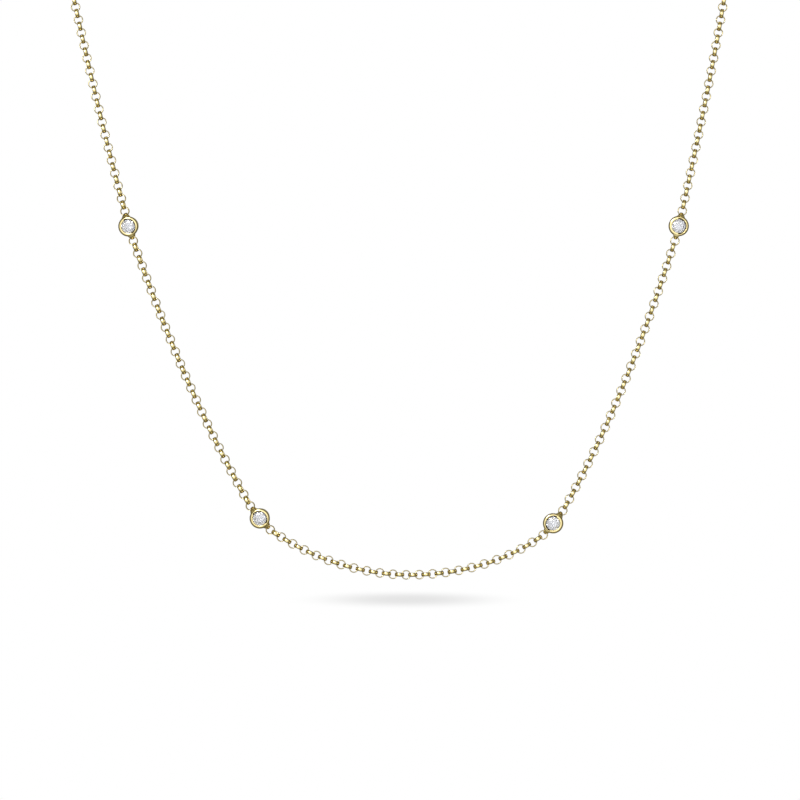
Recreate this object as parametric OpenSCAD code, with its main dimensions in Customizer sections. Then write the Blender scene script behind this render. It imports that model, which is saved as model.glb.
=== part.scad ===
// Station necklace: a fine rolo chain of round links with four round brilliants in bezel settings.
// The frame has +Z up, the front faces -Y, and the origin is on the skin side of the clasp, at the nape.

/* [Links] */
// Outside diameter of a link
link_od = 1.78; // [1.74:0.01:1.8]
// Thickness of a link's band, across its ring
link_t = 0.19; // [0.16:0.01:0.2]
// Width of a link's band, along the ring's axis
link_w = 0.66; // [0.5:0.02:0.68]
// Radius of the domed faces of a link's band
link_dome_r = 0.7; // [0.65:0.01:0.8]
// Distance between neighbouring links, on average
link_pitch = 1.23; // [1.22:0.002:1.24]

/* [How it hangs] */
// Height from the nape down to the middle link
drop = 134; // [130:1:140]
// Distance from the nape forward to the middle link
depth = 59.5; // [58:0.5:61]
// Sideways place of the middle link
middle_x = 1.14; // [0:0.01:1.2]
// Lean of the front, its top going back
lean = 5; // [4:0.5:6]

/* [Settings] */
// Middle of a stone to the middle of the first link
station_half = 2.9; // [2.89:0.01:2.95]
// Outside radius of a bezel at its front rim
bezel_r = 1.9; // [1.88:0.01:1.92]
// Outside radius of a bezel at its back
bezel_back_r = 1.62; // [1.58:0.01:1.64]
// Height of the front rim over the middle plane of the setting
bezel_front = 1.1; // [1.05:0.01:1.15]
// Depth of the back edge under the middle plane
bezel_back = 1.1; // [1.05:0.01:1.15]
// Radius of the hole in a bezel's back
back_hole_r = 1.2; // [1.1:0.01:1.25]
// Radius of the rim's opening
lip_r = 1.25; // [1.23:0.01:1.27]
// Depth of the groove that parts the rim's outer lip from its inner one
groove_drop = 0.24; // [0.22:0.01:0.25]
// Outside radius of the groove at its wide ends
groove_wide_r = 1.5; // [1.48:0.01:1.52]
// Outside radius of the groove along its middle
groove_thin_r = 1.4; // [1.39:0.01:1.42]
// Half-width of an eye's front shoulder where it meets the wall
shoulder_half = 0.85; // [0.7:0.05:0.9]
// Height of a soldered eye's middle over the middle plane
eye_height = 0; // [-0.04:0.01:0.04]

/* [Stones] */
// Radius of a stone at its girdle
stone_r = 1.45; // [1.4:0.01:1.46]
// Radius of the table as a share of the girdle's
table_share = 0.57; // [0.53:0.01:0.6]
// Crown angle
crown_angle = 34; // [32:0.5:35]
// Pavilion angle
pavilion_angle = 41; // [40:0.25:42]
// Height of the girdle
girdle_h = 0.06; // [0.04:0.01:0.08]
// Height of the table over the middle plane of the setting
table_height = 0.94; // [0.9:0.01:0.98]
// Gap between a stone and its setting
seat_gap = 0.05; // [0.04:0.01:0.06]

/* [Clasp] */
// Radius of the clasp's ring, to the middle of its wire
clasp_r = 2; // [1.9:0.05:2.2]
// Radius of the clasp's wire
clasp_wire_r = 0.45; // [0.4:0.01:0.48]
// Radius of the clasp's small eye, to the middle of its wire
clasp_eye_r = 0.8; // [0.78:0.01:0.84]
// Radius of the small eye's wire
clasp_eye_wire_r = 0.22; // [0.2:0.01:0.24]
// Length of the clasp's thumb tab
clasp_tab = 0.7; // [0.5:0.1:0.9]

/* [Hidden] */
GOLD = "#d8b45c";
DIAMOND = "#eaf1f8";
LEFT = -1;
RIGHT = 1;

// A stretch walked outwards from the middle link, with angles in degrees over the horizontal:
// number of links, their spacing, heading at the start, halfway and at the end, and roll.
LINKS = 0;
SPACING = 1;
START = 2;
HALFWAY = 3;
END = 4;
ROLL = 5;
LEFT_STRETCHES = [
  [23, 1.223,  1.0, 18.5, 35.0,  0],
  [45, 1.231, 60.0, 66.5, 70.5, -7],
  [35, 1.238, 74.5, 76.5, 77.5, -2]
];
RIGHT_STRETCHES = [
  [23, 1.223, -0.5, 15.5, 36.0, 0],
  [45, 1.242, 60.0, 68.0, 72.0, 3],
  [35, 1.224, 77.5, 78.5, 80.5, 2]
];
// A station between two stretches: the heading across it, its roll, its nod, by which the bezel is soldered
// to its eyes with its front turned down the chain, and the turn of its groove from the upper eye.
HEADING = 0;
TURN = 1;
NOD = 2;
GROOVE_TURN = 3;
LEFT_STATIONS = [[50, -14, 5, 0], [74, -12, 8, 0]];
RIGHT_STATIONS = [[51, 7, 9, 180], [76, 1, 9, 0]];

// Each link also rolls by up to wobble, as if at random. The links near a station turn with it.
wobble = 1.5;
wobble_step = 137;
turn_kept = 0.8;
link_r = (link_od - link_t) / 2;
link_gap = 0.12;
eye_play = 0.02;
eye_pitch = link_pitch - eye_play;
eye_x = station_half - eye_pitch;
front_normal = [0, -cos(lean), sin(lean)];

// The hidden stretch rises on from the front, goes round the neck and meets the clasp.
rise_handle = 27;
nape_handle = 31;
nape_y = link_od / 2 + 0.02;
back_samples = 120;
tube_r = 0.97;
tube_sides = 8;
tube_rings = 26;

// The clasp sits off the middle, so that its two chain ends are level. Its ring and eye run into each
// other by eye_sink, and its last links hang clear of its wires.
eye_sink = 0.3;
eye_gap = 0.18;
clasp_eye_x = clasp_r + clasp_wire_r + clasp_eye_r + clasp_eye_wire_r - eye_sink;
clasp_tab_r = 0.28;
clasp_tab_angle = 125;
left_link_x = clasp_eye_x + clasp_eye_r - clasp_eye_wire_r + link_od / 2 - link_t - eye_gap;
right_link_x = clasp_r - clasp_wire_r + link_od / 2 - link_t - link_gap;
clasp_half = (left_link_x + right_link_x) / 2;
clasp_x = (left_link_x - right_link_x) / 2;

// Heights in a stone, from its table down. Its lower facets meet at lower_share of the girdle's radius.
lower_share = 0.22;
table_r = table_share * stone_r;
girdle_top = table_height - (stone_r - table_r) * tan(crown_angle);
girdle_bottom = girdle_top - girdle_h;
star_r = (table_r + stone_r) / 2;
star_z = table_height - (star_r * cos(22.5) - table_r) * tan(crown_angle);
culet_z = girdle_bottom - stone_r * tan(pavilion_angle);
lower_r = lower_share * stone_r;
lower_z = culet_z + lower_r * cos(22.5) * tan(pavilion_angle);

function last(list) = list[len(list) - 1];
function unit(v) = v / norm(v);

// Heading in a stretch, t running from 0 at its start to 1 at its end.
function heading(row, t) =
  row[START] * (1 - t) * (1 - 2 * t) + row[HALFWAY] * 4 * t * (1 - t) + row[END] * t * (2 * t - 1);

// Step in the plane of the front, [across, up].
function step(side, angle) = [side * cos(angle), sin(angle)];

// Roll of a link, given the turns of the stations before and after its stretch.
function roll(row, i, turns) =
  row[ROLL] + (turns[0] - row[ROLL]) * pow(turn_kept, i)
  + (turns[1] - row[ROLL]) * pow(turn_kept, row[LINKS] - 1 - i)
  + wobble * sin(180 * i / (row[LINKS] - 1)) * sin(i * wobble_step);

// Links of one stretch as [place in the plane, heading, roll], each one spacing from the last.
function walk(side, row, first, turns) = [
  for (i = 0, p = first;
       i < row[LINKS];
       p = p + row[SPACING] * step(side, heading(row, (i + 0.5) / (row[LINKS] - 1))), i = i + 1)
    [p, heading(row, i / (row[LINKS] - 1)), roll(row, i, turns)]
];

// First link after a station, which lies straight across it from the last link before it.
function after(side, before, station) = before[0] + 2 * station_half * step(side, station[HEADING]);

// Places and courses in the plane of the front, turned into the necklace's own frame.
function place(p) = [p.x, -depth + p.y * sin(lean), -drop + p.y * cos(lean)];
function along(side, angle) = [side * cos(angle), sin(angle) * sin(lean), sin(angle) * cos(lean)];

function front_links(side, rows, stations) =
  walk(side, rows[0], [middle_x, 0], [rows[0][ROLL], stations[0][TURN]]);
function side_links(side, rows, stations, before) =
  walk(side, rows[1], after(side, before, stations[0]), [stations[0][TURN], stations[1][TURN]]);
function upper_links(side, rows, stations, before) =
  walk(side, rows[2], after(side, before, stations[1]), [stations[1][TURN], rows[2][ROLL]]);

FRONT_LEFT = front_links(LEFT, LEFT_STRETCHES, LEFT_STATIONS);
SIDE_LEFT = side_links(LEFT, LEFT_STRETCHES, LEFT_STATIONS, last(FRONT_LEFT));
UPPER_LEFT = upper_links(LEFT, LEFT_STRETCHES, LEFT_STATIONS, last(SIDE_LEFT));
FRONT_RIGHT = front_links(RIGHT, RIGHT_STRETCHES, RIGHT_STATIONS);
SIDE_RIGHT = side_links(RIGHT, RIGHT_STRETCHES, RIGHT_STATIONS, last(FRONT_RIGHT));
UPPER_RIGHT = upper_links(RIGHT, RIGHT_STRETCHES, RIGHT_STATIONS, last(SIDE_RIGHT));

// Handles of the hidden stretch: one smooth curve from the last link in view to the nape.
function back_handles(side, top) = [
  place(top[0]),
  place(top[0]) + rise_handle * along(side, top[1]),
  [side * (clasp_half + nape_handle), nape_y, 0],
  [side * clasp_half, nape_y, 0]
];
function back_point(h, t) =
  pow(1 - t, 3) * h[0] + 3 * pow(1 - t, 2) * t * h[1] + 3 * (1 - t) * t * t * h[2] + pow(t, 3) * h[3];
function back_course(h, t) =
  unit(pow(1 - t, 2) * (h[1] - h[0]) + 2 * (1 - t) * t * (h[2] - h[1]) + t * t * (h[3] - h[2]));

// Away from the neck: forwards at the front, sideways at the shoulder, backwards at the nape.
function back_normal(side, course, t) =
  let (out = (1 - t) * front_normal + [side * 4 * t * (1 - t), t, 0])
  unit(out - (out * course) * course);

// Rows of [length so far, share of the curve], to look a share up by its length.
function back_lengths(h) = [
  for (i = 0, s = 0;
       i <= back_samples;
       i = i + 1, s = s + norm(back_point(h, i / back_samples) - back_point(h, (i - 1) / back_samples)))
    [s, i / back_samples]
];

// Rounds of a bezel's rim, outside and inside, and the steps of their arcs in degrees.
rim_round = 0.2;
lip_round = 0.12;
round_step = 22.5;
function rim_arc(x, y, r, from) = [
  for (angle = [from : round_step : from + 90]) [x + r * cos(angle), y + r * sin(angle)]
];

// Groove in the rim: rows of [angle clockwise from an eye, outside radius]. Round the rest, the cut that makes
// it stays inside the opening, by groove_clear.
GROOVE = [
  [-16, groove_wide_r], [10, groove_wide_r],
  [46, groove_thin_r], [110, groove_thin_r],
  [150, groove_wide_r], [168, groove_wide_r]
];
groove_step = 4;
rest_step = 16;
groove_clear = 0.1;
cut_h = 1;
function round_point(r, turn) = r * [cos(turn), -sin(turn)];
GROOVE_CUT = concat(
  [for (turn = [GROOVE[0][0] : groove_step : last(GROOVE)[0]]) round_point(lookup(turn, GROOVE), turn)],
  [for (turn = [last(GROOVE)[0] : rest_step : GROOVE[0][0] + 360]) round_point(lip_r - groove_clear, turn)]
);

// Shoulders of an eye: plates from the link's band in front and behind to inside the wall, between places
// along the chain and heights over the middle plane.
shoulder_t = 0.18;
shoulder_end = 0.02;
shoulder_eye_x = 2.3;
shoulder_eye_z = 0.58;
shoulder_wall_x = 1.6;
shoulder_wall_z = 0.68;
back_shoulder_x = 1.5;
back_shoulder_half = 0.6;

// Points of a round brilliant: rings of table, star, girdle and lower girdle corners, and the culet.
function ring(n, r, z, turn) = [
  for (i = [0 : n - 1]) [r * cos(i * 360 / n + turn), r * sin(i * 360 / n + turn), z]
];
STONE_POINTS = concat(
  ring(8, table_r, table_height, 0),
  ring(8, star_r, star_z, 22.5),
  ring(16, stone_r, girdle_top, 0),
  ring(16, stone_r, girdle_bottom, 0),
  ring(8, lower_r, lower_z, 22.5),
  [[0, 0, culet_z]]
);
function table_at(i) = i % 8;
function star_at(i) = 8 + i % 8;
function top_at(i) = 16 + i % 16;
function bottom_at(i) = 32 + i % 16;
function lower_at(i) = 48 + i % 8;
CULET = 56;
EIGHT = [0 : 7];
STONE_FACES = concat(
  [[for (i = [7 : -1 : 0]) table_at(i)]],
  [for (i = EIGHT) [table_at(i), table_at(i + 1), star_at(i)]],
  [for (i = EIGHT) [table_at(i), star_at(i), top_at(2 * i)]],
  [for (i = EIGHT) [table_at(i), top_at(2 * i), star_at(i + 7)]],
  [for (i = EIGHT) [star_at(i), top_at(2 * i + 1), top_at(2 * i)]],
  [for (i = EIGHT) [star_at(i), top_at(2 * i + 2), top_at(2 * i + 1)]],
  [for (i = [0 : 15]) [top_at(i), top_at(i + 1), bottom_at(i + 1), bottom_at(i)]],
  [for (i = EIGHT) [lower_at(i), bottom_at(2 * i), bottom_at(2 * i + 1)]],
  [for (i = EIGHT) [lower_at(i), bottom_at(2 * i + 1), bottom_at(2 * i + 2)]],
  [for (i = EIGHT) [CULET, bottom_at(2 * i), lower_at(i)]],
  [for (i = EIGHT) [CULET, lower_at(i + 7), bottom_at(2 * i)]]
);

// Puts its children at a point, with their X along the course and their Z along the normal, rolled.
module set(point, course, normal, roll) {
  z = normal * cos(roll) + cross(course, normal) * sin(roll);
  y = cross(z, course);
  multmatrix([
    [course.x, y.x, z.x, point.x],
    [course.y, y.y, z.y, point.y],
    [course.z, y.z, z.z, point.z]
  ])
    children();
}

// Puts its children at the station that follows the last link of a stretch.
module at_station(side, before, station) {
  set(
    place(before[0] + station_half * step(side, station[HEADING])),
    along(side, station[HEADING]), front_normal, station[TURN]
  )
    children();
}

// Cross-section of a link's band, domed inside and out.
module band() {
  intersection() {
    translate([link_t / 2 - link_dome_r, 0]) circle(r = link_dome_r, $fn = 96);
    translate([link_dome_r - link_t / 2, 0]) circle(r = link_dome_r, $fn = 96);
    square([link_t, link_w], center = true);
  }
}

// One round link whose axis is Z.
module link() {
  rotate_extrude($fn = 64) translate([link_r, 0]) band();
}

// Links that face the viewer and lie edge-on in turn, the even ones facing the viewer.
module links(side, list, from = 0) {
  color(GOLD)
    for (i = [from : len(list) - 1])
      set(place(list[i][0]), along(side, list[i][1]), front_normal, list[i][2])
        rotate([i % 2 == 0 ? 0 : 90, 0, 0]) link();
}

// The middle stretch, both ways from its middle link.
module front() {
  links(LEFT, FRONT_LEFT);
  links(RIGHT, FRONT_RIGHT, from = 1);
}

// Outer form of the hidden stretch, swept along its curve between the links at its two ends.
module tube(side, top) {
  h = back_handles(side, top);
  lengths = back_lengths(h);
  end = link_od / 2 + link_gap;
  run = last(lengths)[0] - 2 * end;
  points = [
    for (k = [0 : tube_rings - 1])
      let (
        t = lookup(end + run * k / (tube_rings - 1), lengths),
        course = back_course(h, t),
        out = back_normal(side, course, t),
        beside = cross(course, out)
      )
      for (j = [0 : tube_sides - 1])
        let (angle = (j + 0.5) * 360 / tube_sides)
        back_point(h, t) + tube_r * (cos(angle) * out + sin(angle) * beside)
  ];
  faces = concat(
    [[for (j = [0 : tube_sides - 1]) j]],
    [
      for (k = [0 : tube_rings - 2], j = [0 : tube_sides - 1])
        let (a = k * tube_sides, b = a + tube_sides, next = (j + 1) % tube_sides)
        each [[a + j, b + j, b + next], [a + j, b + next, a + next]]
    ],
    [[for (j = [tube_sides - 1 : -1 : 0]) (tube_rings - 1) * tube_sides + j]]
  );
  polyhedron(points = points, faces = faces);
}

// The hidden stretch with its last link, which hooks onto the clasp.
module back(side, top) {
  color(GOLD) {
    tube(side, top);
    set([side * clasp_half, nape_y, 0], [-side, 0, 0], [0, 1, 0], 0) rotate([90, 0, 0]) link();
  }
}

// Ring clasp in one plain piece: its ring, the small eye at one side and a thumb tab.
module clasp() {
  color(GOLD)
    translate([clasp_x, nape_y, 0]) rotate([90, 0, 0]) {
      rotate_extrude($fn = 96) translate([clasp_r, 0]) circle(r = clasp_wire_r, $fn = 48);
      translate([-clasp_eye_x, 0, 0])
        rotate_extrude($fn = 96) translate([clasp_eye_r, 0]) circle(r = clasp_eye_wire_r, $fn = 48);
      rotate([0, 0, clasp_tab_angle]) translate([clasp_r, 0, 0]) rotate([0, 90, 0])
        cylinder(r = clasp_tab_r, h = clasp_wire_r + clasp_tab, $fn = 32);
    }
}

// Wall of a bezel: a cup open at the back, with a seat for the stone and a rim over its crown.
module bezel_wall() {
  seat_r = stone_r + seat_gap;
  crown_slope = (star_z - girdle_top) / (stone_r - star_r);
  over_girdle = girdle_top + 0.6 * seat_gap;
  under_crown = over_girdle + (seat_r - lip_r) * crown_slope;
  seat_top = girdle_bottom - seat_gap / 2;
  seat_bottom = seat_top - (seat_r - back_hole_r) * tan(pavilion_angle);
  rotate_extrude($fn = 96)
    polygon(concat(
      [[back_hole_r, -bezel_back], [bezel_back_r, -bezel_back]],
      rim_arc(bezel_r - rim_round, bezel_front - rim_round, rim_round, 0),
      rim_arc(lip_r + lip_round, bezel_front - lip_round, lip_round, 90),
      [[lip_r, under_crown], [seat_r, over_girdle], [seat_r, seat_top], [back_hole_r, seat_bottom]]
    ));
}

// Half a link soldered to the wall, edge-on, which holds the first link of the chain.
module eye() {
  translate([eye_x, 0, eye_height])
    rotate([90, 0, 0]) rotate([0, 0, -90])
      rotate_extrude(angle = 180, $fn = 64) translate([link_r, 0]) band();
}

// Plate that widens from an eye to the wall, in front of the chain's link or behind it.
module shoulder(wall_x, wall_z, wall_half) {
  hull() {
    translate([shoulder_eye_x, 0, sign(wall_z) * shoulder_eye_z])
      cube([shoulder_end, link_w, shoulder_t], center = true);
    translate([wall_x, 0, wall_z])
      cube([shoulder_end, 2 * wall_half, shoulder_t], center = true);
  }
}

// Turns a bezel or a stone on its eyes by its station's nod.
module nodded(station) {
  rotate([0, -station[NOD], 0]) children();
}

// A bezel with its two eyes, one soldered piece.
module setting(station) {
  color(GOLD)
    difference() {
      union() {
        nodded(station) bezel_wall();
        for (turn = [0, 180]) rotate([0, 0, turn]) {
          eye();
          shoulder(shoulder_wall_x, shoulder_wall_z, shoulder_half);
          shoulder(back_shoulder_x, -shoulder_wall_z, back_shoulder_half);
        }
      }
      nodded(station)
        rotate([0, 0, station[GROOVE_TURN]])
          translate([0, 0, bezel_front - groove_drop]) linear_extrude(height = cut_h) polygon(GROOVE_CUT);
    }
}

// A round brilliant with its table towards the viewer.
module diamond(station) {
  color(DIAMOND) nodded(station) polyhedron(points = STONE_POINTS, faces = STONE_FACES);
}

front();  // chain_front
links(LEFT, SIDE_LEFT);  // chain_side_left
links(RIGHT, SIDE_RIGHT);  // chain_side_right
links(LEFT, UPPER_LEFT);  // chain_upper_left
links(RIGHT, UPPER_RIGHT);  // chain_upper_right
back(LEFT, last(UPPER_LEFT));  // chain_back_left
back(RIGHT, last(UPPER_RIGHT));  // chain_back_right
clasp();
at_station(LEFT, last(SIDE_LEFT), LEFT_STATIONS[1]) setting(LEFT_STATIONS[1]);  // setting_upper_left
at_station(LEFT, last(FRONT_LEFT), LEFT_STATIONS[0]) setting(LEFT_STATIONS[0]);  // setting_lower_left
at_station(RIGHT, last(FRONT_RIGHT), RIGHT_STATIONS[0]) setting(RIGHT_STATIONS[0]);  // setting_lower_right
at_station(RIGHT, last(SIDE_RIGHT), RIGHT_STATIONS[1]) setting(RIGHT_STATIONS[1]);  // setting_upper_right
at_station(LEFT, last(SIDE_LEFT), LEFT_STATIONS[1]) diamond(LEFT_STATIONS[1]);  // diamond_upper_left
at_station(LEFT, last(FRONT_LEFT), LEFT_STATIONS[0]) diamond(LEFT_STATIONS[0]);  // diamond_lower_left
at_station(RIGHT, last(FRONT_RIGHT), RIGHT_STATIONS[0]) diamond(RIGHT_STATIONS[0]);  // diamond_lower_right
at_station(RIGHT, last(SIDE_RIGHT), RIGHT_STATIONS[1]) diamond(RIGHT_STATIONS[1]);  // diamond_upper_right
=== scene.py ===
"""Diamond station necklace: its finish, its fine links, and the studio it hangs in.

Sizes with _MM are in millimetres in a piece's own space. Everything else is in metres, in the part's frame:
+Z up, the front towards -Y, the origin at the nape.
"""

import math

import bmesh
import bpy
import numpy as np
from mathutils import Matrix, Vector


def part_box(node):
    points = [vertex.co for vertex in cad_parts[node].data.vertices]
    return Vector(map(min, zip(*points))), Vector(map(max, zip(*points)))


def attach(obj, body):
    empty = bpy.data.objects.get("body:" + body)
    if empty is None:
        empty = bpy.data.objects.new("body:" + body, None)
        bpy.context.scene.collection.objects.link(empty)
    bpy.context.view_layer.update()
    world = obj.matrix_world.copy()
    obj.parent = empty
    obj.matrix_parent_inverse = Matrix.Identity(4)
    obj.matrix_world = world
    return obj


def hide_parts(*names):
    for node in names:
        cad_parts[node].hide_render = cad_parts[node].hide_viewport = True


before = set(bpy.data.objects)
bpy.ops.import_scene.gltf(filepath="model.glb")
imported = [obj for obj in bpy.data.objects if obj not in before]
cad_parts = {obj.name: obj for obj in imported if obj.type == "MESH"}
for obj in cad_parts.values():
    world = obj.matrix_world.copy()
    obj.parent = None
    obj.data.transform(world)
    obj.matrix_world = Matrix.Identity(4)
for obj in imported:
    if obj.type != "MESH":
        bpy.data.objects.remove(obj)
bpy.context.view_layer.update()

MM = 0.001
WELD = 1e-6

# Chains at the two eyes of each setting: its X points from the first to the second.
STATION_CHAINS = {
    "upper_left": ("chain_side_left", "chain_upper_left"),
    "lower_left": ("chain_front", "chain_side_left"),
    "lower_right": ("chain_side_right", "chain_front"),
    "upper_right": ("chain_side_right", "chain_upper_right"),
}
VISIBLE_CHAINS = (
    "chain_front",
    "chain_side_left",
    "chain_side_right",
    "chain_upper_left",
    "chain_upper_right",
)

# Sides of the two hidden chains, with the sign of X there.
HIDDEN_CHAINS = {"left": -1, "right": 1}

# Link: a band bent to a ring, its section an oval. No link reaches further across than LINK_BOX_MM.
LINK_R_MM = 0.787
LINK_T_MM = 0.20
LINK_W_MM = 0.66
LINK_AROUND = 44
LINK_ACROSS = 12
LINK_BOX_MM = 3 * LINK_R_MM

# Hidden stretch: a smooth curve from the last link in view to the clasp.
RISE_HANDLE = 27 * MM
NAPE_HANDLE = 31 * MM
HIDDEN_STEPS = 75
CURVE_SAMPLES = 600
CURVE_AHEAD = 0.002
FRONT_LEAN = math.radians(5)

# Skin of fused shells: how strongly each round of smoothing acts.
SMOOTHING_FACTOR = 0.5

# Setting: a bezel open at the back, and two soldered eyes.
BEZEL_R_MM = 1.9
BEZEL_BACK_R_MM = 1.62
BEZEL_FRONT_MM = 1.1
BEZEL_BACK_MM = 1.1
BEZEL_AROUND = 240
BACK_HOLE_MM = 1.2
RIM_ROUND_MM = 0.4
ARC_STEPS = 5
SETTING_VOXEL_MM = 0.035
SETTING_SMOOTHING = 8
SETTING_KEEP = 0.7

# Seat under the stone's girdle, and the underside of the rim, which follows the stone's crown.
SEAT_R_MM = 1.5
SEAT_TOP_MM = 0.44
SEAT_SLOPE = math.radians(41)
OVER_GIRDLE_MM = 0.55
CROWN_SLOPE = 0.86

# Rim's opening, and the groove down one side of it, as (degrees clockwise from the eye at +X, outer radius).
LIP_MM = 1.25
LIP_LEDGE_MM = 0.86
LIP_ROUND_MM = 0.14
LIP_ROUND_SHARE = 0.9
GROOVE_LEAST_MM = 0.02
SWIRL_FROM = -40
SWIRL_MM = (
    (-17, 1.25),
    (-16, 1.5),
    (10, 1.5),
    (46, 1.4),
    (110, 1.4),
    (150, 1.5),
    (168, 1.5),
    (169, 1.25),
)

# Painted shade in the groove, as dark gold: the heights it lies between, and how far it runs past the
# groove's edges.
PAINTED_SHADE_HEIGHTS_MM = (0.78, 1.04)
PAINTED_SHADE_EDGE_MM = 0.05

# Eye: half of a ring. It is a true oval where EYE_SHAPE is 2, and its slopes are straight where it is 1.
EYE_X_MM = 1.65
EYE_REACH_MM = 0.83
EYE_BACK_MM = 0.82
EYE_SINK_MM = 0.33
EYE_LEAST_MM = 0.7
EYE_SHAPE = 1.6
EYE_T_MM = 0.22
EYE_FLARE_MM = 0.45
EYE_BACK_FLARE_MM = 0.28
EYE_FLARE_FROM_MM = 2.4
EYE_FLARE_TO_MM = 1.65
EYE_AROUND = 60

# Clasp: a ring, its small eye and a thumb tab, in one piece. A grid is (steps around, steps across).
CLASP_R_MM = 2.0
CLASP_WIRE_MM = 0.45
CLASP_GRID = (96, 24)
CLASP_EYE_X_MM = 3.17
CLASP_EYE_R_MM = 0.8
CLASP_EYE_WIRE_MM = 0.22
CLASP_EYE_GRID = (64, 16)
CLASP_TAB_ANGLE = math.radians(125)
CLASP_TAB_MM = 0.7
CLASP_TAB_R_MM = 0.28
CLASP_VOXEL_MM = 0.06
CLASP_SMOOTHING = 4
CLASP_KEEP = 0.6

# Round end of the tab: it stops just short of a quarter turn, at a small flat.
TAB_AROUND = 16
TAB_END_ROWS = 7
TAB_END_TURN = 1.5

# Gold: its two tones, as the tint's noise spreads them, and the pale glaze of its highlights.
GOLD_TONES = ((0.80, 0.66, 0.28), (0.88, 0.735, 0.345))
GOLD_ROUGHNESS = (0.08, 0.20)
TINT_SCALE = 900
TINT_DETAIL = 3
TINT_SPREAD = (0.3, 0.7)
GLAZE_ROUGHNESS = 0.1
GLAZE_IOR = 1.8

# Gold down in the groove as painted shade: nearly black, and without the glaze.
PAINTED_SHADE_TONES = ((0.04, 0.03, 0.012), (0.07, 0.055, 0.025))
PAINTED_SHADE_ROUGHNESS = (0.4, 0.6)

# Faint tumbling marks in both.
MARK_SCALE = 14000
MARK_DETAIL = 4
MARK_STRENGTH = 0.25
MARK_DEPTH = 0.000004

# Diamond, and the reflections inside it before a ray of light is given up.
DIAMOND_TONE = (0.91, 0.93, 1.0)
DIAMOND_IOR = 2.417
DIAMOND_TRANSMISSION = 0.87
STONE_BOUNCES = 24

# Camera, level, and far enough for a long lens. The lens and its sensor are in millimetres.
CAMERA_PLACE = Vector((0, -0.9595, -0.10162))
CAMERA_LENS = 218.7
CAMERA_SENSOR = 36
CAMERA_NEAR = 0.01

# Floor, and the soft pool of shade on it.
FLOOR_Z = -0.1385
FLOOR_HALF = 3.0
SHADOW_PLACE = Vector((0.0013, -0.0606, FLOOR_Z))
SHADOW_HALF = (0.0245, 0.050)
SHADOW_TONE = 0.785

# Key light: a softbox in front, up and to the left.
KEY_PLACE = Vector((-0.35, -0.75, 0.25))
KEY_TARGET = Vector((0, -0.05, -0.08))
KEY_SIZE = (0.25, 0.35)
KEY_POWER = 3

# Room round the necklace, as (how far forwards, brightness, warmth): 0 is straight behind, and 1 is straight
# ahead.
WORLD_FRONT = Vector((-0.08, -0.99, 0.10))
METAL_ROOM = (
    (0, 0.5, 0.6),
    (0.06, 0.15, 1),
    (0.25, 0.08, 1),
    (0.42, 0.11, 1),
    (0.58, 0.17, 1),
    (0.72, 0.26, 1),
    (0.84, 0.48, 0.5),
    (0.92, 0.95, 0),
    (0.97, 1.45, 0),
    (1, 1.65, 0),
)
STONE_ROOM = (
    (0, 1.0, 0),
    (0.3, 0.6, 0),
    (0.5, 0.9, 0),
    (0.7, 0.5, 0),
    (0.85, 1.15, 0),
    (1, 0.9, 0),
)
WARM_TONE = (1, 0.93, 0.62)


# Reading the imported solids

def loose_parts(node):
    """Corners of each loose solid of a node, as arrays in metres."""
    mesh = bmesh.new()
    mesh.from_mesh(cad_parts[node].data)
    bmesh.ops.remove_doubles(mesh, verts=mesh.verts, dist=WELD)
    seen = set()
    parts = []
    for first in mesh.verts:
        if first in seen:
            continue
        seen.add(first)
        queue = [first]
        for vert in queue:
            near = [edge.other_vert(vert) for edge in vert.link_edges]
            new = [other for other in near if other not in seen]
            seen.update(new)
            queue.extend(new)
        parts.append(np.array([vert.co for vert in queue]))
    mesh.free()
    return parts


def principal_axes(points):
    """Middle of a cloud of points and its principal directions, the widest first."""
    middle = points.mean(axis=0)
    directions = np.linalg.svd(points - middle, full_matrices=False)[2]
    return Vector(middle), [Vector(direction) for direction in directions]


def is_link(points):
    """Whether a loose solid is as small as a link."""
    return np.ptp(points, axis=0).max() < LINK_BOX_MM * MM


def ring_place(middle, axis):
    """Matrix that puts a ring made about Z in millimetres at a place, about an axis."""
    turn = axis.normalized().to_track_quat("Z", "Y").to_matrix().to_4x4()
    return Matrix.Translation(middle) @ turn @ Matrix.Scale(MM, 4)


def link_places(node):
    """Places of a node's links, from its solids."""
    places = []
    for part in loose_parts(node):
        if is_link(part):
            middle, directions = principal_axes(part)
            places.append(ring_place(middle, directions[2]))
    return places


# Making meshes

def add_object(name, vertices, faces, smooth=True):
    """New object from vertices and faces."""
    mesh = bpy.data.meshes.new(name)
    mesh.from_pydata([tuple(v) for v in vertices], [], [tuple(f) for f in faces])
    mesh.validate()
    for polygon in mesh.polygons:
        polygon.use_smooth = smooth
    piece = bpy.data.objects.new(name, mesh)
    bpy.context.scene.collection.objects.link(piece)
    return piece


def circle(count):
    """Angles once round, evenly apart."""
    return [2 * math.pi * i / count for i in range(count)]


def moved(vertices, matrix):
    """Vertices carried by a matrix."""
    matrix = np.array(matrix)
    return vertices @ matrix[:3, :3].T + matrix[:3, 3]


def grid_faces(rows, columns, wrap_rows=True):
    """Quads of a grid of vertices, whose rows close on themselves, as its columns may."""
    faces = []
    for row in range(rows if wrap_rows else rows - 1):
        next_row = (row + 1) % rows
        for column in range(columns):
            next_column = (column + 1) % columns
            faces.append((
                row * columns + column,
                next_row * columns + column,
                next_row * columns + next_column,
                row * columns + next_column,
            ))
    return np.array(faces)


def ring_grid(ring_r, half_out, half_axial, around, across):
    """Vertices of a ring about Z, whose section is an oval."""
    section = circle(across)
    out = ring_r + half_out * np.cos(section)
    up = half_axial * np.sin(section)
    angles = np.linspace(0, 2 * math.pi, around, endpoint=False)
    return np.array([(r * math.cos(a), r * math.sin(a), z) for a in angles for r, z in zip(out, up)])


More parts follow.
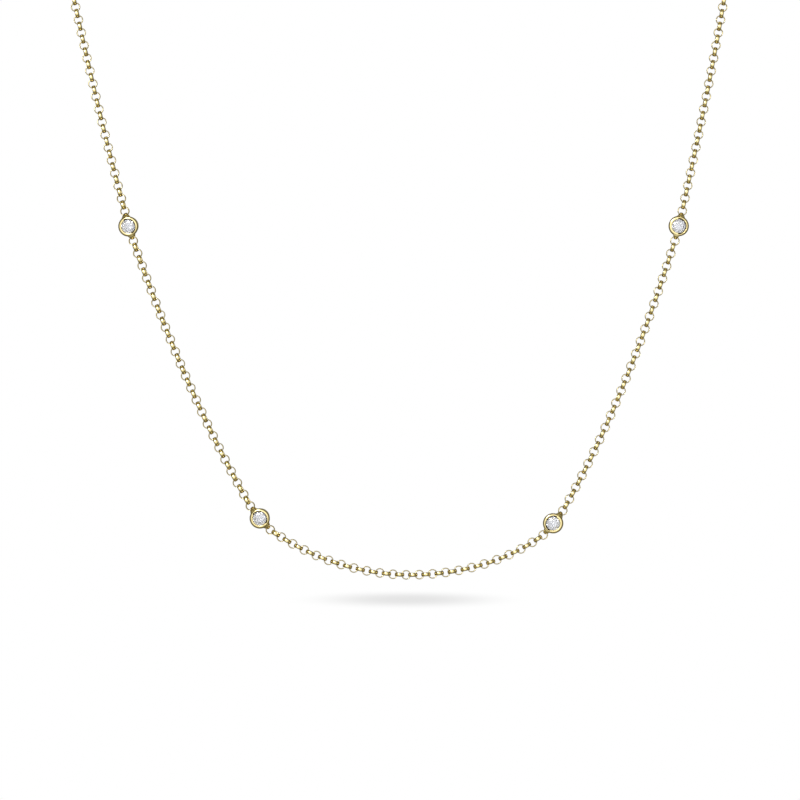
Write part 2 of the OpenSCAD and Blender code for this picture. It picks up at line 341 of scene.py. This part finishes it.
def joined_rings(name, places):
    """One object of links, each at its own place."""
    template = ring_grid(LINK_R_MM, LINK_T_MM / 2, LINK_W_MM / 2, LINK_AROUND, LINK_ACROSS)
    faces = grid_faces(LINK_AROUND, LINK_ACROSS)
    all_vertices = np.vstack([moved(template, place) for place in places])
    all_faces = np.vstack([faces + i * len(template) for i in range(len(places))])
    return add_object(name, all_vertices, all_faces)


def join_grids(name, grids):
    """One object of several shells, each as its vertices and faces."""
    vertices = []
    faces = []
    for shell_vertices, shell_faces in grids:
        base = len(vertices)
        vertices.extend(shell_vertices)
        faces.extend(tuple(int(i) + base for i in face) for face in shell_faces)
    return add_object(name, vertices, faces)


def bake_modifiers(piece):
    """Applies all of a piece's modifiers."""
    bpy.context.view_layer.update()
    result = piece.evaluated_get(bpy.context.evaluated_depsgraph_get())
    mesh = bpy.data.meshes.new_from_object(result)
    piece.modifiers.clear()
    piece.data = mesh


def fuse(piece, voxel, smoothing, keep):
    """Fuses a piece's overlapping shells into one skin, softens its edges and thins its mesh."""
    remesh = piece.modifiers.new("fuse", "REMESH")
    remesh.mode = "VOXEL"
    remesh.voxel_size = voxel
    remesh.use_smooth_shade = True
    soften = piece.modifiers.new("soften", "SMOOTH")
    soften.factor = SMOOTHING_FACTOR
    soften.iterations = smoothing
    thin = piece.modifiers.new("thin", "DECIMATE")
    thin.ratio = keep
    bake_modifiers(piece)
    for polygon in piece.data.polygons:
        polygon.use_smooth = True


def dress(piece, node):
    """Has a piece stand for a node, which it hides, and ride with the part."""
    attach(piece, "root")
    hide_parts(node)


# Chain

def curve_point(curve, shares, share):
    """Point of a sampled curve at a share of its parameter."""
    return Vector([np.interp(share, shares, curve[:, k]) for k in range(3)])


def hidden_places(side_name):
    """Places of the links that go on round the neck, from the last one in view to the clasp's."""
    side = HIDDEN_CHAINS[side_name]
    upper = [principal_axes(part)[0] for part in loose_parts("chain_upper_" + side_name)]
    upper.sort(key=lambda middle: middle.z)
    start = upper[-1]
    rise = (upper[-1] - upper[-2]).normalized()
    last_part = next(part for part in loose_parts("chain_back_" + side_name) if is_link(part))
    end, end_directions = principal_axes(last_part)
    handles = (start, start + RISE_HANDLE * rise, end + side * Vector((NAPE_HANDLE, 0, 0)), end)
    shares = np.linspace(0, 1, CURVE_SAMPLES)
    rest = 1 - shares
    weights = np.array([rest ** 3, 3 * rest ** 2 * shares, 3 * rest * shares ** 2, shares ** 3])
    curve = weights.T @ np.array(handles)
    lengths = np.concatenate([[0], np.cumsum(np.linalg.norm(np.diff(curve, axis=0), axis=1))])
    front_normal = Vector((0, -math.cos(FRONT_LEAN), math.sin(FRONT_LEAN)))
    places = []
    for step in range(1, HIDDEN_STEPS):
        share = float(np.interp(step / HIDDEN_STEPS * lengths[-1], lengths, shares))
        point = curve_point(curve, shares, share)
        ahead = curve_point(curve, shares, min(share + CURVE_AHEAD, 1))
        course = (ahead - point).normalized()
        # Away from the neck: forwards at the start, most sideways half way, and backwards at the end.
        sideways = 4 * share * (1 - share)
        out = (1 - share) * front_normal + Vector((side * sideways, share, 0))
        out = (out - out.dot(course) * course).normalized()
        places.append(ring_place(point, out if step % 2 == 0 else out.cross(course)))
    places.append(ring_place(end, end_directions[2]))
    return places


def make_chains():
    """All links, one piece to a node."""
    places = {node: link_places(node) for node in VISIBLE_CHAINS}
    for side_name in HIDDEN_CHAINS:
        places["chain_back_" + side_name] = hidden_places(side_name)
    pieces = []
    for node, node_places in places.items():
        piece = joined_rings(node + "_links", node_places)
        dress(piece, node)
        pieces.append(piece)
    return pieces


# Settings

def chain_end(node, station):
    """Middle and ring axis of the link of a node that is nearest to a stone."""
    stone = Vector(loose_parts("diamond_" + station)[0].mean(axis=0))
    places = [principal_axes(part) for part in loose_parts(node)]
    middle, directions = min(places, key=lambda place: (place[0] - stone).length)
    return middle, directions[2]


def turned_to(origin, along, normal):
    """Matrix of a space in millimetres with X along a course and Z out of the front."""
    along = (along - along.dot(normal) * normal).normalized()
    turn = Matrix((along, normal.cross(along), normal)).transposed().to_4x4()
    return Matrix.Translation(origin) @ turn @ Matrix.Scale(MM, 4)


def station_spaces(station):
    """Space of a setting's eyes, which lie in the chain, and that of its bezel, which is turned on them."""
    first_chain, second_chain = STATION_CHAINS[station]
    first, normal = chain_end(first_chain, station)
    second = chain_end(second_chain, station)[0]
    along = (second - first).normalized()
    normal = (normal - normal.dot(along) * along).normalized()
    if normal.y > 0:
        normal = -normal
    stone_axis = principal_axes(loose_parts("diamond_" + station)[0])[1][2]
    if stone_axis.y > 0:
        stone_axis = -stone_axis
    origin = (first + second) / 2
    return turned_to(origin, along, normal), turned_to(origin, along, stone_axis)


def swirl_radius(angle):
    """Outer radius of the groove at an angle, or LIP_MM where there is none."""
    clockwise = (math.degrees(-angle) - SWIRL_FROM) % 360 + SWIRL_FROM
    return float(np.interp(clockwise, [row[0] for row in SWIRL_MM], [row[1] for row in SWIRL_MM]))


def quarter_arc(x, y, radius, start):
    """Points of a quarter turn."""
    angles = [start + math.pi / 2 * i / ARC_STEPS for i in range(ARC_STEPS + 1)]
    return [(x + radius * math.cos(a), y + radius * math.sin(a)) for a in angles]


def wall_section(groove_r):
    """Section of the bezel where its groove reaches this radius, as [radius, height] once round."""
    seat_bottom = SEAT_TOP_MM - (SEAT_R_MM - BACK_HOLE_MM) * math.tan(SEAT_SLOPE)
    lip_round = min(LIP_ROUND_MM, (BEZEL_R_MM - RIM_ROUND_MM - groove_r) * LIP_ROUND_SHARE)
    ledge = LIP_LEDGE_MM if groove_r > LIP_MM + GROOVE_LEAST_MM else BEZEL_FRONT_MM - lip_round
    under = OVER_GIRDLE_MM + (SEAT_R_MM - LIP_MM) * CROWN_SLOPE
    return (
        [(BACK_HOLE_MM, -BEZEL_BACK_MM), (BEZEL_BACK_R_MM, -BEZEL_BACK_MM)]
        + quarter_arc(BEZEL_R_MM - RIM_ROUND_MM, BEZEL_FRONT_MM - RIM_ROUND_MM, RIM_ROUND_MM, 0)
        + quarter_arc(groove_r + lip_round, BEZEL_FRONT_MM - lip_round, lip_round, math.pi / 2)
        + [(groove_r, ledge), (LIP_MM, ledge)]
        + [(LIP_MM, under), (SEAT_R_MM, OVER_GIRDLE_MM), (SEAT_R_MM, SEAT_TOP_MM)]
        + [(BACK_HOLE_MM, seat_bottom)]
    )


def bezel_grid():
    """Vertices and faces of the bezel's wall."""
    vertices = []
    for angle in circle(BEZEL_AROUND):
        section = wall_section(swirl_radius(angle))
        vertices.extend((r * math.cos(angle), r * math.sin(angle), z) for r, z in section)
    return np.array(vertices), grid_faces(BEZEL_AROUND, len(section))


def eye_front(side, bezel_to_eyes):
    """Height of an eye's front, just under the turned rim."""
    rim = bezel_to_eyes @ Vector((side * EYE_X_MM, 0, BEZEL_FRONT_MM))
    return max(rim.z - EYE_SINK_MM, EYE_LEAST_MM)


def eye_grid(side, front_height):
    """Half a ring, edge-on, that slopes and flares to the wall's sides, with its two open ends closed."""
    vertices = []
    for angle in np.linspace(-math.pi / 2, math.pi / 2, EYE_AROUND):
        height = front_height if angle > 0 else EYE_BACK_MM
        most_flare = EYE_FLARE_MM if angle > 0 else EYE_BACK_FLARE_MM
        along = math.cos(angle) ** (2 / EYE_SHAPE)
        up = math.copysign(abs(math.sin(angle)) ** (2 / EYE_SHAPE), angle)
        normal = Vector((along ** (EYE_SHAPE - 1) / EYE_REACH_MM, abs(up) ** (EYE_SHAPE - 1) / height))
        normal.normalize()
        x = EYE_X_MM + EYE_REACH_MM * along
        flare = min(max((EYE_FLARE_FROM_MM - x) / (EYE_FLARE_FROM_MM - EYE_FLARE_TO_MM), 0), 1)
        half_width = LINK_W_MM / 2 + most_flare * flare
        for turn in circle(LINK_ACROSS):
            out = EYE_T_MM / 2 * math.cos(turn)
            vertices.append((
                side * (x + out * normal.x),
                side * half_width * math.sin(turn),
                height * up + math.copysign(out * normal.y, out * angle),
            ))
    faces = [tuple(reversed(face)) for face in grid_faces(EYE_AROUND, LINK_ACROSS, wrap_rows=False)]
    faces.append(tuple(reversed(range(LINK_ACROSS))))
    faces.append(tuple(range((EYE_AROUND - 1) * LINK_ACROSS, EYE_AROUND * LINK_ACROSS)))
    return vertices, faces


def mark_painted_shade(mesh, to_bezel):
    """Gives the faces down in the groove the second of the mesh's materials, the dark gold of painted shade.
    """
    centres = np.empty(3 * len(mesh.polygons))
    mesh.polygons.foreach_get("center", centres)
    centres = moved(centres.reshape(-1, 3), to_bezel)
    radius = np.hypot(centres[:, 0], centres[:, 1])
    groove = np.array([swirl_radius(math.atan2(y, x)) for x, y in centres[:, :2]])
    inside = groove > LIP_MM + GROOVE_LEAST_MM
    inside &= (radius > LIP_MM - PAINTED_SHADE_EDGE_MM) & (radius < groove + PAINTED_SHADE_EDGE_MM)
    inside &= (centres[:, 2] > PAINTED_SHADE_HEIGHTS_MM[0]) & (centres[:, 2] < PAINTED_SHADE_HEIGHTS_MM[1])
    mesh.polygons.foreach_set("material_index", inside.astype(np.int32))


def make_settings():
    """The four settings, each with its bezel turned on its eyes."""
    wall, wall_faces = bezel_grid()
    pieces = []
    for station in STATION_CHAINS:
        eyes, bezel = station_spaces(station)
        bezel_to_eyes = eyes.inverted() @ bezel
        shells = [(moved(wall, bezel_to_eyes), wall_faces)]
        shells += [eye_grid(side, eye_front(side, bezel_to_eyes)) for side in (1, -1)]
        piece = join_grids("setting_" + station + "_bezel", shells)
        fuse(piece, SETTING_VOXEL_MM, SETTING_SMOOTHING, SETTING_KEEP)
        # Painted shade: the faces down in the groove take the dark gold.
        mark_painted_shade(piece.data, bezel.inverted() @ eyes)
        piece.data.transform(eyes)
        dress(piece, "setting_" + station)
        pieces.append(piece)
    return pieces


# Clasp

def tab_grid(start, end, radius, angle):
    """Rod with a round end, in the ring's plane at an angle."""
    rows = [(start, radius)]
    end_turns = np.linspace(0, TAB_END_TURN, TAB_END_ROWS)
    rows += [(end + radius * math.sin(a), radius * math.cos(a)) for a in end_turns]
    vertices = []
    for x, r in rows:
        for turn in circle(TAB_AROUND):
            y = r * math.cos(turn)
            vertices.append((
                x * math.cos(angle) - y * math.sin(angle),
                x * math.sin(angle) + y * math.cos(angle),
                r * math.sin(turn),
            ))
    faces = [tuple(face) for face in grid_faces(len(rows), TAB_AROUND, wrap_rows=False)]
    faces.append(tuple(range(TAB_AROUND)))
    faces.append(tuple(reversed(range((len(rows) - 1) * TAB_AROUND, len(rows) * TAB_AROUND))))
    return vertices, faces


def make_clasp():
    """The clasp's ring, eye and tab, fused."""
    low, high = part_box("clasp")
    ring = ring_grid(CLASP_R_MM, CLASP_WIRE_MM, CLASP_WIRE_MM, *CLASP_GRID)
    eye = ring_grid(CLASP_EYE_R_MM, CLASP_EYE_WIRE_MM, CLASP_EYE_WIRE_MM, *CLASP_EYE_GRID)
    eye = eye - np.array([CLASP_EYE_X_MM, 0, 0])
    tab_end = CLASP_R_MM + CLASP_WIRE_MM + CLASP_TAB_MM
    tab = tab_grid(CLASP_R_MM, tab_end - CLASP_TAB_R_MM, CLASP_TAB_R_MM, CLASP_TAB_ANGLE)
    shells = [(ring, grid_faces(*CLASP_GRID)), (eye, grid_faces(*CLASP_EYE_GRID)), tab]
    piece = join_grids("clasp_ring", shells)
    fuse(piece, CLASP_VOXEL_MM, CLASP_SMOOTHING, CLASP_KEEP)
    right = high.x - (CLASP_R_MM + CLASP_WIRE_MM) * MM
    place = Matrix.Translation((right, (low.y + high.y) / 2, 0)) @ Matrix.Rotation(math.pi / 2, 4, "X")
    piece.data.transform(place @ Matrix.Scale(MM, 4))
    dress(piece, "clasp")
    return piece


# Nodes

def cleared_tree(owner):
    """Empty node tree of a material or a world."""
    owner.use_nodes = True
    owner.node_tree.nodes.clear()
    return owner.node_tree


def noise(tree, place, scale, detail):
    """Noise at a place."""
    node = tree.nodes.new("ShaderNodeTexNoise")
    node.inputs["Scale"].default_value = scale
    node.inputs["Detail"].default_value = detail
    tree.links.new(place, node.inputs["Vector"])
    return node


def vector_math(tree, operation, source, operand=(0, 0, 0)):
    """Sum done on a vector. A length takes no operand."""
    node = tree.nodes.new("ShaderNodeVectorMath")
    node.operation = operation
    node.inputs[1].default_value = operand
    tree.links.new(source, node.inputs[0])
    return node


def map_range(tree, source, old, new):
    """Carries a value from one range to another, each as (least, most)."""
    node = tree.nodes.new("ShaderNodeMapRange")
    node.inputs["From Min"].default_value, node.inputs["From Max"].default_value = old
    node.inputs["To Min"].default_value, node.inputs["To Max"].default_value = new
    tree.links.new(source, node.inputs["Value"])
    return node


def mixed(tree, share, first, second):
    """Mix of two shaders."""
    node = tree.nodes.new("ShaderNodeMixShader")
    tree.links.new(share, node.inputs["Fac"])
    tree.links.new(first, node.inputs[1])
    tree.links.new(second, node.inputs[2])
    return node


# Materials

def shader_material(name):
    """New material and its principled shader."""
    material = bpy.data.materials.new(name)
    material.use_nodes = True
    return material, material.node_tree.nodes["Principled BSDF"]


def gold_material(name, tones, roughness, glaze):
    """Yellow gold, with faint tumbling marks and a little variation in colour."""
    material, shader = shader_material(name)
    tree = material.node_tree
    shader.inputs["Metallic"].default_value = 1
    shader.inputs["Coat Weight"].default_value = glaze
    shader.inputs["Coat Roughness"].default_value = GLAZE_ROUGHNESS
    shader.inputs["Coat IOR"].default_value = GLAZE_IOR
    place = tree.nodes.new("ShaderNodeTexCoord").outputs["Object"]
    tint = noise(tree, place, TINT_SCALE, TINT_DETAIL)
    ramp = tree.nodes.new("ShaderNodeValToRGB")
    for element, position, tone in zip(ramp.color_ramp.elements, TINT_SPREAD, tones):
        element.position = position
        element.color = (*tone, 1)
    tree.links.new(tint.outputs["Fac"], ramp.inputs["Fac"])
    tree.links.new(ramp.outputs["Color"], shader.inputs["Base Color"])
    marks = noise(tree, place, MARK_SCALE, MARK_DETAIL)
    rough = map_range(tree, marks.outputs["Fac"], (0, 1), roughness)
    tree.links.new(rough.outputs["Result"], shader.inputs["Roughness"])
    bump = tree.nodes.new("ShaderNodeBump")
    bump.inputs["Strength"].default_value = MARK_STRENGTH
    bump.inputs["Distance"].default_value = MARK_DEPTH
    tree.links.new(marks.outputs["Fac"], bump.inputs["Height"])
    tree.links.new(bump.outputs["Normal"], shader.inputs["Normal"])
    return material


def diamond_material():
    """Clear diamond."""
    material, shader = shader_material("diamond")
    shader.inputs["Base Color"].default_value = (*DIAMOND_TONE, 1)
    shader.inputs["Roughness"].default_value = 0
    shader.inputs["IOR"].default_value = DIAMOND_IOR
    shader.inputs["Transmission Weight"].default_value = DIAMOND_TRANSMISSION
    return material


def paint(piece, *materials):
    """Gives a new piece these materials."""
    for material in materials:
        piece.data.materials.append(material)


def paint_node(node, material):
    """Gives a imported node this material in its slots."""
    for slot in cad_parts[node].material_slots:
        slot.material = material


# Studio

def floor_material():
    """White that glows by itself, with a soft grey pool of shade."""
    material = bpy.data.materials.new("studio_floor")
    tree = cleared_tree(material)
    place = tree.nodes.new("ShaderNodeTexCoord").outputs["Object"]
    shift = vector_math(tree, "SUBTRACT", place, SHADOW_PLACE)
    size = vector_math(tree, "DIVIDE", shift.outputs["Vector"], (*SHADOW_HALF, 1))
    distance = vector_math(tree, "LENGTH", size.outputs["Vector"])
    shade = map_range(tree, distance.outputs["Value"], (0, 1), (SHADOW_TONE, 1))
    shade.interpolation_type = "SMOOTHERSTEP"
    glow = tree.nodes.new("ShaderNodeEmission")
    tree.links.new(shade.outputs["Result"], glow.inputs["Color"])
    out = tree.nodes.new("ShaderNodeOutputMaterial")
    tree.links.new(glow.outputs["Emission"], out.inputs["Surface"])
    return material


def make_floor():
    """White floor under the necklace, which only the camera sees."""
    half = FLOOR_HALF
    corners = [(x, y, FLOOR_Z) for x, y in ((-half, -half), (half, -half), (half, half), (-half, half))]
    floor = add_object("studio_floor", corners, [(0, 1, 2, 3)], smooth=False)
    paint(floor, floor_material())
    floor.visible_diffuse = False
    floor.visible_glossy = False
    floor.visible_transmission = False


def world_ramp(tree, spread, stops):
    """Background that a ramp lights, over how far forwards a direction points."""
    ramp = tree.nodes.new("ShaderNodeValToRGB")
    ramp.color_ramp.interpolation = "EASE"
    # New stops start half way, and each is then moved to its place.
    while len(ramp.color_ramp.elements) < len(stops):
        ramp.color_ramp.elements.new(0.5)
    for element, (position, brightness, warmth) in zip(ramp.color_ramp.elements, stops):
        element.position = position
        element.color = (*[brightness * (1 + (tone - 1) * warmth) for tone in WARM_TONE], 1)
    tree.links.new(spread.outputs["Result"], ramp.inputs["Fac"])
    glow = tree.nodes.new("ShaderNodeBackground")
    tree.links.new(ramp.outputs["Color"], glow.inputs["Color"])
    return glow


def make_world():
    """Room with a bright front and dark sides in the metal, a paler one in the stones, and white beyond."""
    world = bpy.data.worlds.new("studio")
    bpy.context.scene.world = world
    tree = cleared_tree(world)
    place = tree.nodes.new("ShaderNodeTexCoord").outputs["Generated"]
    front = vector_math(tree, "DOT_PRODUCT", place, WORLD_FRONT.normalized())
    spread = map_range(tree, front.outputs["Value"], (-1, 1), (0, 1))
    in_metal = world_ramp(tree, spread, METAL_ROOM).outputs["Background"]
    in_stone = world_ramp(tree, spread, STONE_ROOM).outputs["Background"]
    white = tree.nodes.new("ShaderNodeBackground")
    white.inputs["Color"].default_value = (1, 1, 1, 1)
    ray = tree.nodes.new("ShaderNodeLightPath").outputs
    room = mixed(tree, ray["Is Transmission Ray"], in_metal, in_stone)
    seen = mixed(tree, ray["Is Camera Ray"], room.outputs["Shader"], white.outputs["Background"])
    out = tree.nodes.new("ShaderNodeOutputWorld")
    tree.links.new(seen.outputs["Shader"], out.inputs["Surface"])


def make_key_light():
    """Rectangular lamp that faces the necklace."""
    lamp = bpy.data.lights.new("key_light", "AREA")
    lamp.shape = "RECTANGLE"
    lamp.size, lamp.size_y = KEY_SIZE
    lamp.energy = KEY_POWER
    holder = bpy.data.objects.new("key_light", lamp)
    bpy.context.scene.collection.objects.link(holder)
    holder.location = KEY_PLACE
    holder.rotation_euler = (KEY_TARGET - KEY_PLACE).to_track_quat("-Z", "Y").to_euler()


def make_camera():
    """Long lens, level, straight at the front."""
    camera = bpy.data.objects.new("camera", bpy.data.cameras.new("camera"))
    bpy.context.scene.collection.objects.link(camera)
    camera.location = CAMERA_PLACE
    camera.rotation_euler = (math.pi / 2, 0, 0)
    camera.data.sensor_width = CAMERA_SENSOR
    camera.data.lens = CAMERA_LENS
    camera.data.clip_start = CAMERA_NEAR
    bpy.context.scene.camera = camera


make_camera()
gold = gold_material("polished_gold", GOLD_TONES, GOLD_ROUGHNESS, glaze=1)
# The second gold is painted shade, laid in the groove in place of the shade that falls there.
painted_shade_gold = gold_material("painted_shade_gold", PAINTED_SHADE_TONES, PAINTED_SHADE_ROUGHNESS, glaze=0)
diamond = diamond_material()
for metal_piece in make_chains() + [make_clasp()]:
    paint(metal_piece, gold)
for setting_piece in make_settings():
    paint(setting_piece, gold, painted_shade_gold)
for stone_station in STATION_CHAINS:
    paint_node("diamond_" + stone_station, diamond)
make_floor()
make_world()
make_key_light()
bpy.context.scene.view_settings.view_transform = "Standard"
bpy.context.scene.cycles.max_bounces = STONE_BOUNCES
bpy.context.scene.cycles.glossy_bounces = STONE_BOUNCES
bpy.context.scene.cycles.transmission_bounces = STONE_BOUNCES
